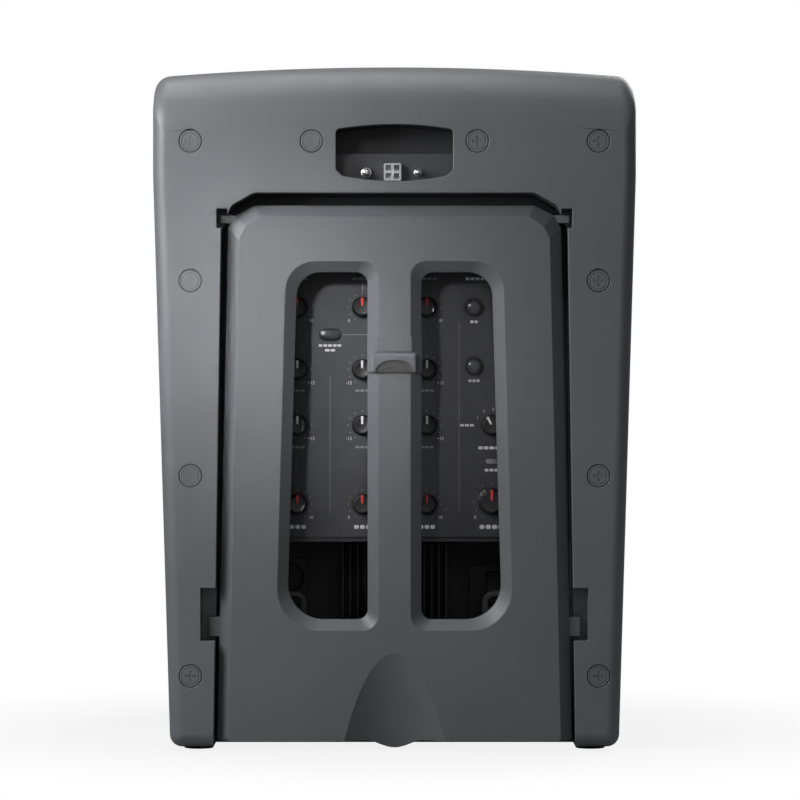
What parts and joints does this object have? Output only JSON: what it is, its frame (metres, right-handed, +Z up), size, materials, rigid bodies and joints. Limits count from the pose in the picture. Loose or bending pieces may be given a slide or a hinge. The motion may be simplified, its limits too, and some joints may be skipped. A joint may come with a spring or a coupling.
{
  "type": "powered subwoofer base of a column pa system",
  "caption": "Powered subwoofer base for a column loudspeaker, with a rear mixer behind a removable windowed cover and a socket for the column.",
  "frame": {"origin": "on the floor under the middle of the cabinet", "axes": "+Z up, -Y is the grille side, +Y is the equipment side with the cover, X across"},
  "size_m": [0.38, 0.42, 0.54],
  "materials": {
    "housing_plastic": "fine moulded grain, satin",
    "screw_plastic": "satin black-grey",
    "cover_plastic": "fine moulded grain, satin",
    "bay_plastic": "matte black",
    "socket_plastic": "satin black",
    "knob_plastic": "soft-touch black",
    "panel_paint": "fine matte paint",
    "grille_steel": "textured black paint",
    "heatsink_metal": "black anodised",
    "frame_metal": "black paint",
    "magnet_iron": "plated",
    "contact_metal": "bright",
    "connector_plastic": "satin",
    "rubber": "matte",
    "cone_pulp": "pressed pulp",
    "baffle_wood": "raw board",
    "board_laminate": "laminate",
    "lamp_lens": "smoked lens"
  },
  "bodies": {
    "base": {"amplifier_circuit_board": "board_laminate", "amplifier_heatsink": "heatsink_metal", "bass_port": "bay_plastic", "cable_guide_left": "housing_plastic", "cable_guide_right": "housing_plastic", "carry_handle": "rubber", "combo_jack_1": "socket_plastic", "combo_jack_2": "socket_plastic", "dock_connector": "connector_plastic", "dock_pin_left": "contact_metal", "dock_pin_right": "contact_metal", "dock_socket": "housing_plastic", "equipment_tub": "bay_plastic", "foot_front_left": "rubber", "foot_front_right": "rubber", "foot_rear_left": "rubber", "foot_rear_right": "rubber", "front_grille": "grille_steel", "front_housing": "housing_plastic", "handle_cup": "housing_plastic", "limit_lamp": "lamp_lens", "mains_inlet": "socket_plastic", "mixer_circuit_board": "board_laminate", "mixer_panel": "panel_paint", "rear_housing": "housing_plastic", "screw_bottom_left": "screw_plastic", "screw_bottom_right": "screw_plastic", "screw_centre_left": "screw_plastic", "screw_centre_right": "screw_plastic", "screw_lower_left": "screw_plastic", "screw_lower_right": "screw_plastic", "screw_top_left": "screw_plastic", "screw_top_right": "screw_plastic", "screw_upper_left": "screw_plastic", "screw_upper_right": "screw_plastic", "woofer_baffle": "baffle_wood", "woofer_frame": "frame_metal", "woofer_magnet": "magnet_iron", "woofer_surround": "rubber"},
    "cover": {"rear_cover": "cover_plastic"},
    "latch": {"cover_latch": "cover_plastic"},
    "cone": {"woofer_cone": "cone_pulp"},
    "rocker": {"power_switch": "knob_plastic"},
    "channel_1_bass_knob": {"channel_1_bass_knob": "knob_plastic"},
    "channel_1_level_knob": {"channel_1_level_knob": "knob_plastic"},
    "channel_1_reverb_knob": {"channel_1_reverb_knob": "knob_plastic"},
    "channel_1_treble_knob": {"channel_1_treble_knob": "knob_plastic"},
    "channel_2_bass_knob": {"channel_2_bass_knob": "knob_plastic"},
    "channel_2_level_knob": {"channel_2_level_knob": "knob_plastic"},
    "channel_2_reverb_knob": {"channel_2_reverb_knob": "knob_plastic"},
    "channel_2_treble_knob": {"channel_2_treble_knob": "knob_plastic"},
    "channel_3_bass_knob": {"channel_3_bass_knob": "knob_plastic"},
    "channel_3_level_knob": {"channel_3_level_knob": "knob_plastic"},
    "channel_3_reverb_knob": {"channel_3_reverb_knob": "knob_plastic"},
    "channel_3_treble_knob": {"channel_3_treble_knob": "knob_plastic"},
    "main_level_knob": {"main_level_knob": "knob_plastic"},
    "preset_knob": {"preset_knob": "knob_plastic"},
    "pairing_button": {"pairing_button": "knob_plastic"},
    "voicing_button": {"voicing_button": "knob_plastic"},
    "phantom_button": {"phantom_button": "knob_plastic"}
  },
  "joints": [
    {"name": "cover_lift_off", "type": "slide", "parent": "base", "child": "cover", "axis": [0, 1, 0], "range_m": [0, 0.12]},
    {"name": "latch_slide", "type": "slide", "parent": "cover", "child": "latch", "axis": [0, 0, 1], "range_m": [0, 0.01], "stiffness_N_per_m": 200, "springref_m": -0.005},
    {"name": "cone_travel", "type": "slide", "parent": "base", "child": "cone", "axis": [0, 1, 0], "range_m": [-0.004, 0.004], "stiffness_N_per_m": 3000},
    {"name": "power_rocker", "type": "hinge", "parent": "base", "child": "rocker", "pos_m": [-0.086, 0.06, 0.121], "axis": [1, 0, 0], "range_deg": [-16, 0]},
    {"name": "channel_1_bass_knob_turn", "type": "hinge", "parent": "base", "child": "channel_1_bass_knob", "pos_m": [0.0771, 0.1635, 0.2554], "axis": [0, 1, 0], "range_deg": [-150, 150]},
    {"name": "channel_1_level_knob_turn", "type": "hinge", "parent": "base", "child": "channel_1_level_knob", "pos_m": [0.0771, 0.1635, 0.3492], "axis": [0, 1, 0], "range_deg": [-150, 150]},
    {"name": "channel_1_reverb_knob_turn", "type": "hinge", "parent": "base", "child": "channel_1_reverb_knob", "pos_m": [0.0771, 0.1635, 0.1926], "axis": [0, 1, 0], "range_deg": [-150, 150]},
    {"name": "channel_1_treble_knob_turn", "type": "hinge", "parent": "base", "child": "channel_1_treble_knob", "pos_m": [0.0771, 0.1635, 0.2997], "axis": [0, 1, 0], "range_deg": [-150, 150]},
    {"name": "channel_2_bass_knob_turn", "type": "hinge", "parent": "base", "child": "channel_2_bass_knob", "pos_m": [0.0257, 0.1635, 0.2554], "axis": [0, 1, 0], "range_deg": [-150, 150]},
    {"name": "channel_2_level_knob_turn", "type": "hinge", "parent": "base", "child": "channel_2_level_knob", "pos_m": [0.0257, 0.1635, 0.3492], "axis": [0, 1, 0], "range_deg": [-150, 150]},
    {"name": "channel_2_reverb_knob_turn", "type": "hinge", "parent": "base", "child": "channel_2_reverb_knob", "pos_m": [0.0257, 0.1635, 0.1926], "axis": [0, 1, 0], "range_deg": [-150, 150]},
    {"name": "channel_2_treble_knob_turn", "type": "hinge", "parent": "base", "child": "channel_2_treble_knob", "pos_m": [0.0257, 0.1635, 0.2997], "axis": [0, 1, 0], "range_deg": [-150, 150]},
    {"name": "channel_3_bass_knob_turn", "type": "hinge", "parent": "base", "child": "channel_3_bass_knob", "pos_m": [-0.0257, 0.1635, 0.2554], "axis": [0, 1, 0], "range_deg": [-150, 150]},
    {"name": "channel_3_level_knob_turn", "type": "hinge", "parent": "base", "child": "channel_3_level_knob", "pos_m": [-0.0257, 0.1635, 0.3492], "axis": [0, 1, 0], "range_deg": [-150, 150]},
    {"name": "channel_3_reverb_knob_turn", "type": "hinge", "parent": "base", "child": "channel_3_reverb_knob", "pos_m": [-0.0257, 0.1635, 0.1926], "axis": [0, 1, 0], "range_deg": [-150, 150]},
    {"name": "channel_3_treble_knob_turn", "type": "hinge", "parent": "base", "child": "channel_3_treble_knob", "pos_m": [-0.0257, 0.1635, 0.2997], "axis": [0, 1, 0], "range_deg": [-150, 150]},
    {"name": "main_level_knob_turn", "type": "hinge", "parent": "base", "child": "main_level_knob", "pos_m": [-0.0771, 0.1635, 0.1947], "axis": [0, 1, 0], "range_deg": [-150, 150]},
    {"name": "preset_knob_turn", "type": "hinge", "parent": "base", "child": "preset_knob", "pos_m": [-0.0771, 0.1635, 0.2554], "axis": [0, 1, 0], "range_deg": [-60, 90]},
    {"name": "pairing_button_press", "type": "slide", "parent": "base", "child": "pairing_button", "axis": [0, -1, 0], "range_m": [0, 0.002], "stiffness_N_per_m": 400, "springref_m": -0.002},
    {"name": "voicing_button_press", "type": "slide", "parent": "base", "child": "voicing_button", "axis": [0, -1, 0], "range_m": [0, 0.002], "stiffness_N_per_m": 400, "springref_m": -0.002},
    {"name": "phantom_button_press", "type": "slide", "parent": "base", "child": "phantom_button", "axis": [0, -1, 0], "range_m": [0, 0.002], "stiffness_N_per_m": 400, "springref_m": -0.002}
  ]
}
